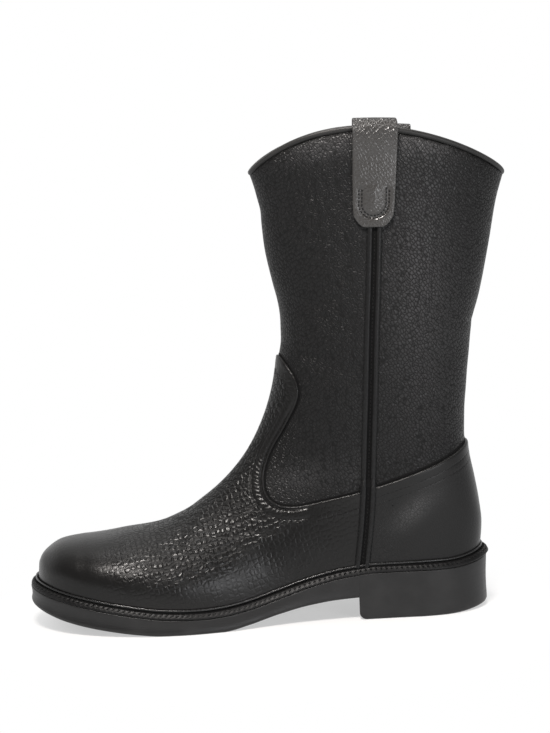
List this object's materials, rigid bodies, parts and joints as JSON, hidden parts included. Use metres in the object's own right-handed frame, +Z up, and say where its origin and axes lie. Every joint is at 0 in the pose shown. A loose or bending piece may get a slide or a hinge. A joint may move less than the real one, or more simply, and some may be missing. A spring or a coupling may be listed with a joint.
{
  "type": "roper boot",
  "caption": "Left pull-on roper boot in black grained leather, with a scooped collar, pull straps, a storm welt and a rubber unit sole with a low heel.",
  "frame": {"origin": "on the floor under the middle of the boot's box", "axes": "+Z up, toe towards -X, outer side of the foot towards -Y"},
  "size_m": [0.3182, 0.1054, 0.3213],
  "materials": {
    "grain_leather": "tumbled grain, semi-matt",
    "smooth_leather": "fine grain, semi-matt",
    "welt_leather": "burnished edge",
    "black_rubber": "smooth, satin",
    "insole_leather": "plain, matt"
  },
  "bodies": {
    "root": {"outsole": "black_rubber", "welt": "welt_leather", "insole": "insole_leather", "upper": "grain_leather", "vamp": "grain_leather", "counter": "grain_leather", "shaft_seam_outer": "grain_leather", "shaft_seam_inner": "grain_leather", "foot_seam_outer": "grain_leather", "foot_seam_inner": "grain_leather", "collar_binding": "smooth_leather", "pull_strap_outer": "smooth_leather", "pull_strap_inner": "smooth_leather"}
  },
  "joints": []
}
